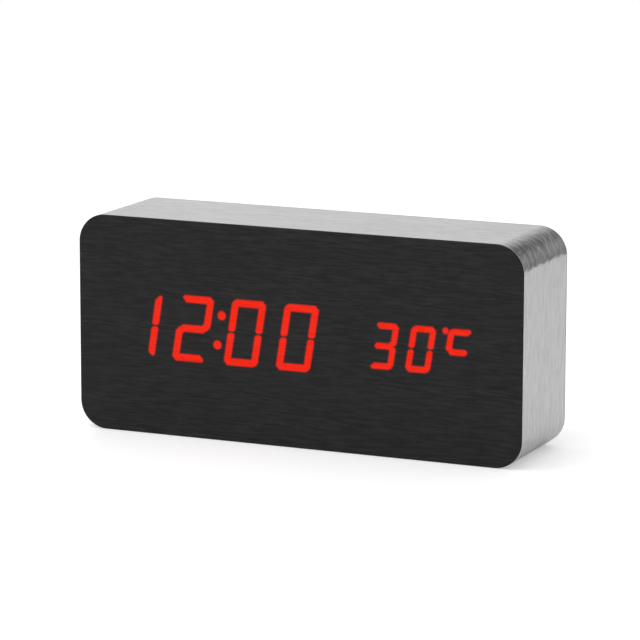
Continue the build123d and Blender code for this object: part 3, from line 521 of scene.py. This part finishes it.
def outline(inset):
    """Points (x, z) round the block, anticlockwise as seen from the front."""
    radius = CORNER - inset
    half_width = (cad_high.x - cad_low.x) / 2 - inset
    low, high = cad_low.z + inset, cad_high.z - inset
    centres = [
        (half_width - radius, high - radius),
        (radius - half_width, high - radius),
        (radius - half_width, low + radius),
        (half_width - radius, low + radius),
    ]
    points = []
    for quarter, (x, z) in enumerate(centres):
        for i in range(CORNER_STEPS + 1):
            turn = (quarter + i / CORNER_STEPS) * math.pi / 2
            points.append((x + radius * math.cos(turn), z + radius * math.sin(turn)))
    return points


def add_ring(mesh, inset, y):
    return [mesh.verts.new((x, y, z)) for x, z in outline(inset)]


def join_rings(mesh, rings, close=False):
    """Quads between one ring and the next, and from the last to the first if closed."""
    pairs = list(zip(rings, rings[1:]))
    if close:
        pairs.append((rings[-1], rings[0]))
    for first, second in pairs:
        for i in range(len(first)):
            mesh.faces.new((first[i - 1], first[i], second[i], second[i - 1]))


def finish_mesh(mesh, name, material, crease=FILM_CREASE):
    """The mesh as an object, smooth but for its creases, and with its flat sides left flat."""
    bmesh.ops.recalc_face_normals(mesh, faces=mesh.faces)
    data = bpy.data.meshes.new(name)
    mesh.to_mesh(data)
    mesh.free()
    data.shade_smooth()
    data.set_sharp_from_angle(angle=math.radians(crease))
    piece = bpy.data.objects.new(name, data)
    bpy.context.scene.collection.objects.link(piece)
    weighted = piece.modifiers.new("flat_sides", "WEIGHTED_NORMAL")
    weighted.keep_sharp = True
    data.materials.append(material)
    return piece


def rolled_edge(width, depth):
    """(inset, depth) of the rings of a rolled edge, from the flat side out to the block's side."""
    turns = [i / RIM_STEPS * math.pi / 2 for i in range(RIM_STEPS + 1)]
    return [(width * (1 - math.sin(turn)), depth * (1 - math.cos(turn))) for turn in turns]


def make_sleeve(name, box, front_edge, rear_edge, thickness, material):
    """Film round the block over the box's depth, with the rings of its two edges."""
    low, high = box
    mesh = bmesh.new()
    rings = [add_ring(mesh, inset, low.y + back) for inset, back in front_edge]
    rings += [add_ring(mesh, inset, high.y - back) for inset, back in reversed(rear_edge)]
    rings += [add_ring(mesh, thickness, high.y), add_ring(mesh, thickness, low.y)]
    join_rings(mesh, rings, close=True)
    return finish_mesh(mesh, name, material)


def make_edge_film(material):
    """Silver film round the top, the sides and the underside, with rounded cut edges."""
    cut = rolled_edge(FILM_EDGE, FILM_EDGE)
    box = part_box("edge_film")
    piece = make_sleeve("silver_edge_film", box, cut, cut, film_thickness(), material)
    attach(piece, "case")
    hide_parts("edge_film")


def film_thickness():
    low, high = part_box("face_film")
    return high.y - low.y


def make_rear_film(material):
    """Ring on the back edge of the block, with a rolled outer edge."""
    square, rolled = [(0, 0)], rolled_edge(REAR_RIM, REAR_RIM)
    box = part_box("rear_film")
    piece = make_sleeve("black_rear_film", box, square, rolled, rear_film_width(), material)
    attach(piece, "case")
    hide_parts("rear_film")


def rear_film_width():
    """From the block's side to the inner edge of the film ring, read at mid height."""
    middle = (cad_low.z + cad_high.z) / 2
    points = [v.co for v in frame["nodes"]["rear_film"].data.vertices]
    return cad_high.x - min(p.x for p in points if p.x > 0 and abs(p.z - middle) < STRAIGHT_SIDE)


# ================================================================================== lit digits


def stroke_outlines(half_width, half_height, stroke):
    """The seven strokes of an upright digit about its centre, as corner points by stroke letter."""
    half = stroke / 2
    inner_x, outer_x = half_width - half, half_width + half
    inner_z, outer_z = half_height - half, half_height + half
    bevel = CORNER_CUT / 2
    top = [
        (inner_x, inner_z),
        (outer_x - bevel, outer_z - bevel),
        (outer_x - CORNER_CUT, outer_z),
        (CORNER_CUT - outer_x, outer_z),
        (bevel - outer_x, outer_z - bevel),
        (-inner_x, inner_z),
    ]
    upper_right = [
        (inner_x, inner_z),
        (outer_x - bevel, outer_z - bevel),
        (outer_x, outer_z - CORNER_CUT),
        (outer_x, MIDDLE_GAP + TIP_CUT),
        (outer_x - TIP_CUT, MIDDLE_GAP),
        (inner_x + TIP_CUT, MIDDLE_GAP),
        (inner_x, MIDDLE_GAP + TIP_CUT),
    ]
    tip = half_width + MIDDLE_REACH
    right_end = [(tip - half, -half), (tip, 0), (tip - half, half)]
    return {
        "a": top,
        "b": upper_right,
        "c": [(x, -z) for x, z in upper_right],
        "d": [(x, -z) for x, z in top],
        "e": [(-x, -z) for x, z in upper_right],
        "f": [(-x, z) for x, z in upper_right],
        "g": right_end + [(-x, -z) for x, z in right_end],
    }


def meeting_spots(letters, half_width, half_height):
    """Where the light of two lit strokes runs together."""
    spots = []
    sides = {"b": (1, 1), "c": (1, -1), "e": (-1, -1), "f": (-1, 1)}
    for letter, (sx, sz) in sides.items():
        if letter in letters and ("a" if sz > 0 else "d") in letters:
            spots.append((sx * (half_width - BEND), sz * (half_height - BEND)))
        if letter in letters and "g" in letters:
            spots.append((sx * (half_width - MIDDLE_BEND), sz * MIDDLE_BEND))
    return spots


def heading(angle):
    return np.array([math.cos(angle), math.sin(angle)])


class Stroke:
    """A convex polygon with rounded corners, from its sharp corners (x, z) on the face."""

    def __init__(self, points):
        middle = np.mean(points, axis=0)
        turns = [math.atan2(z - middle[1], x - middle[0]) for x, z in points]
        self.points = np.array([points[i] for i in np.argsort(turns)])
        self.points = np.array(self.mitred(-ROUNDING))

    def distance(self, places):
        """Signed distance of each place to the lit outline, negative inside."""
        nearest = np.full(len(places), np.inf)
        inside = np.ones(len(places), bool)
        for start, end in zip(self.points, np.roll(self.points, -1, axis=0)):
            along = end - start
            offset = places - start
            share = np.clip(offset @ along / (along @ along), 0, 1)
            away = np.linalg.norm(offset - share[:, None] * along, axis=1)
            nearest = np.minimum(nearest, away)
            inside &= along[0] * offset[:, 1] - along[1] * offset[:, 0] >= 0
        return np.where(inside, -nearest, nearest) - ROUNDING

    def corners(self):
        """Each corner with the direction of its first side's normal and the turn to the next."""
        for i, corner in enumerate(self.points):
            before = corner - self.points[i - 1]
            after = self.points[(i + 1) % len(self.points)] - corner
            first = math.atan2(-before[0], before[1])
            yield corner, first, (math.atan2(-after[0], after[1]) - first) % (2 * math.pi)

    def mitred(self, grow):
        """The corners, moved so that every side lies that much further out."""
        return [
            corner + grow / math.cos(turn / 2) * heading(first + turn / 2)
            for corner, first, turn in self.corners()
        ]

    def loop(self, distance):
        """Closed outline at that distance from the lit outline, with round corners."""
        grow = distance + ROUNDING
        loop = []
        for corner, first, turn in self.corners():
            steps = 1 + int(turn / ARC_STEP)
            loop += [corner + grow * heading(first + turn * k / steps) for k in range(steps + 1)]
        return loop


class Spot:
    """A round dot."""

    def __init__(self, centre, radius):
        self.centre, self.radius = np.array(centre), radius

    def distance(self, places):
        """Signed distance of each place to the dot's edge, negative inside."""
        return np.linalg.norm(places - self.centre, axis=1) - self.radius

    def loop(self, distance):
        """Closed outline at that distance from the dot's edge."""
        steps = round(2 * math.pi / ARC_STEP)
        grown = self.radius + distance
        return [self.centre + grown * heading(k * ARC_STEP) for k in range(steps)]


def on_face(row, index, point):
    """Place on the face of a point about the centre of one of the row's digits."""
    x, z = point
    return row["first_x"] + index * row["pitch"] + x + SLANT * z, row["mid_z"] + z


def lit_shapes():
    """Every lit stroke, dot and bridge on the face."""
    shapes = [Spot((x, z), radius) for x, z, radius in DOTS]
    for row in (TIME_DIGITS, DEGREE_DIGITS):
        half_width, half_height, stroke = row["half_width"], row["half_height"], row["stroke"]
        outlines = stroke_outlines(half_width, half_height, stroke)
        for i, letters in enumerate(row["shown"]):
            for letter in letters:
                shapes.append(Stroke([on_face(row, i, point) for point in outlines[letter]]))
            for spot in meeting_spots(letters, half_width, half_height):
                shapes.append(Spot(on_face(row, i, spot), stroke / 2))
    return shapes


def closed_edges(first, count):
    return [(first + i, first + (i + 1) % count) for i in range(count)]


def cut_face(rim, shapes):
    """Flat mesh inside the rim that follows the lit shapes.

    Gives its points, its triangles, and for each point the given points that it comes from.
    """
    points = [Vector(point) for point in rim]
    edges = closed_edges(0, len(rim))
    for shape in shapes:
        for distance in (-SOFT_EDGE, 0, SOFT_EDGE, HALO):
            loop = shape.loop(distance)
            edges += closed_edges(len(points), len(loop))
            points += [Vector(point * MM) for point in loop]
    whole_hull = 0
    cut = geometry.delaunay_2d_cdt(points, edges, [], whole_hull, SAME_POINT)
    flat, _, faces, sources, _, _ = cut
    return flat, faces, sources


def make_face_film(material):
    """Face sheet with a rolled rim, whose mesh knows how far each point is from the digits."""
    low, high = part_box("face_film")
    rim = outline(FACE_RIM)
    shapes = lit_shapes()
    flat, faces, sources = cut_face(rim, shapes)
    mesh = bmesh.new()
    front = [mesh.verts.new((p.x, low.y, p.y)) for p in flat]
    for face in faces:
        mesh.faces.new([front[i] for i in face])
    first_ring = [None] * len(rim)
    for vertex, origins in zip(front, sources):
        for k in origins:
            if k < len(rim):
                first_ring[k] = vertex
    rolled = rolled_edge(FACE_RIM, FACE_RIM_DEPTH)[1:]
    rings = [first_ring]
    rings += [add_ring(mesh, inset, low.y + back) for inset, back in rolled]
    rings.append(add_ring(mesh, 0, high.y))
    join_rings(mesh, rings)
    mesh.faces.new(rings[-1])
    piece = finish_mesh(mesh, "black_face_film", material, FACE_CREASE)
    store_distance(piece.data, shapes)
    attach(piece, "case")
    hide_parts("face_film")


def store_distance(data, shapes):
    """Millimetres from each point to the nearest lit outline, for the material."""
    places = np.array([(v.co.x, v.co.z) for v in data.vertices]) / MM
    nearest = np.min([shape.distance(places) for shape in shapes], axis=0)
    attribute = data.attributes.new("edge_distance", "FLOAT", "POINT")
    attribute.data.foreach_set("value", np.clip(nearest, -SOFT_EDGE, HALO).astype(np.float32))


# ================================================================================== stage


def make_floor():
    """Pale floor that also glows for the camera, and a little in reflections."""
    f = Finish("pale_floor")
    kinds = ("Camera", "Glossy", "Transmission")
    camera, glossy, through = [f.node("LightPath", {}, f"Is {kind} Ray") for kind in kinds]
    mirrored = f.times(f.math("MAXIMUM", glossy, through), GLOW_SHARE)
    inputs = {
        "Base Color": f.tint(f.noise(FLOOR_PERIOD, 2.0), FLOOR_DARK, FLOOR_LIGHT),
        "Roughness": FLOOR_ROUGHNESS,
        "Specular IOR Level": FLOOR_GLOSS,
        "Emission Color": WHITE,
        "Emission Strength": f.times(f.math("MAXIMUM", camera, mirrored), FLOOR_GLOW),
    }
    f.close("Material", f.node("BsdfPrincipled", inputs))
    half = FLOOR_SIZE / 2
    data = bpy.data.meshes.new("floor")
    corners = [(-half, -half), (half, -half), (half, half), (-half, half)]
    data.from_pydata([(x, y, -FLOOR_DROP) for x, y in corners], [], [(0, 1, 2, 3)])
    data.materials.append(f.material)
    floor = bpy.data.objects.new("floor", data)
    bpy.context.scene.collection.objects.link(floor)


def make_world():
    """Pale studio: brighter overhead, with a dark flag behind the block on its right."""
    world = bpy.data.worlds.new("studio")
    bpy.context.scene.world = world
    world.use_nodes = True
    w = Nodes(world.node_tree)
    x, y, z = w.split(w.node("TexCoord", {}, "Generated"))
    out = w.math("ADD", w.math("POWER", x, 2), w.math("POWER", z, 2))
    ring = w.times(w.span(out, *FLAG_INNER_RIM), w.span(out, *FLAG_OUTER_RIM))
    flag = w.times(w.times(w.span(x, *FLAG_BY_X), w.span(y, *FLAG_BY_Y)), ring)
    stripe = w.times(w.span(z, *STRIPE_RISE), w.span(z, *STRIPE_FALL))
    shade = w.times(flag, w.math("SUBTRACT", 1.0, stripe))
    light = w.times(w.span(z, *WALL_BY_HEIGHT), w.math("SUBTRACT", 1.0, shade))
    lit = w.node("Background", {"Color": WHITE, "Strength": light})
    plain = w.node("Background", {"Color": WHITE, "Strength": 1.0})
    camera = w.node("LightPath", {}, "Is Camera Ray")
    w.close("World", w.node("MixShader", {0: camera, 1: lit, 2: plain}))


def make_lamp():
    """Square soft light that looks at the block."""
    lamp = bpy.data.lights.new("key_light", "AREA")
    lamp.shape = "SQUARE"
    lamp.size = LAMP_SIZE
    lamp.energy = LAMP_WATTS
    light = bpy.data.objects.new("key_light", lamp)
    light.location = LAMP_PLACE
    light.rotation_mode = "QUATERNION"
    light.rotation_quaternion = (CAMERA_AIM - Vector(LAMP_PLACE)).to_track_quat("-Z", "Y")
    bpy.context.scene.collection.objects.link(light)


def make_camera():
    """Camera at the photo's viewing angle."""
    azimuth, elevation = math.radians(CAMERA_AZIMUTH), math.radians(CAMERA_ELEVATION)
    level = math.cos(elevation)
    back = Vector((math.sin(azimuth) * level, -math.cos(azimuth) * level, math.sin(elevation)))
    data = bpy.data.cameras.new("camera")
    data.sensor_width = SENSOR
    data.lens = CAMERA_LENS
    camera = bpy.data.objects.new("camera", data)
    camera.location = CAMERA_AIM + back * CAMERA_DISTANCE
    camera.rotation_mode = "QUATERNION"
    roll = Quaternion((0, 0, 1), math.radians(CAMERA_ROLL))
    camera.rotation_quaternion = (-back).to_track_quat("-Z", "Y") @ roll
    bpy.context.scene.collection.objects.link(camera)
    bpy.context.scene.camera = camera


# ================================================================================== scene

bpy.context.scene.view_settings.view_transform = "Standard"
finishes = make_finishes()
dress_nodes(finishes)
make_edge_film(finishes["silver_edge_film"])
make_rear_film(finishes["black_grain_film"])
make_face_film(black_grain("lit_grain_film", lit=True))
make_floor()
make_world()
make_lamp()
make_camera()
